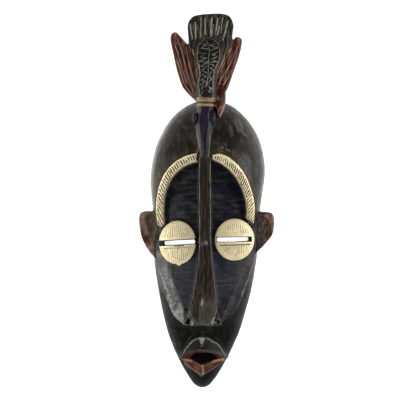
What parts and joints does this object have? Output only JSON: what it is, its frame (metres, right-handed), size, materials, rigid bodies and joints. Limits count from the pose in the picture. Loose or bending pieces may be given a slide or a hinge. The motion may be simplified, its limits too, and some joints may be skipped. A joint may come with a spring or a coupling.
{
  "type": "carved bird mask",
  "caption": "Long oval carved wooden face mask with a bird crest whose beak runs down the forehead, brass sheet over brows and eyes, slit eyes and a hollow back.",
  "frame": {"origin": "centre of the outline, on the plane of the flat back rim that the mask lies on", "axes": "+X to the viewer's right, +Y from the chin to the bird's tail, +Z out of the face"},
  "size_m": [0.1737, 0.4829, 0.086],
  "materials": {
    "painted_wood": "hand-carved, stained near black and waxed, rubbed on its edges",
    "brass_sheet": "thin embossed sheet, pale and dull, dark in its grooves"
  },
  "bodies": {
    "root": {"carved_mask": "painted_wood", "left_brow_band": "brass_sheet", "right_brow_band": "brass_sheet", "left_eye_upper_plate": "brass_sheet", "left_eye_lower_plate": "brass_sheet", "right_eye_plate": "brass_sheet"}
  },
  "joints": []
}
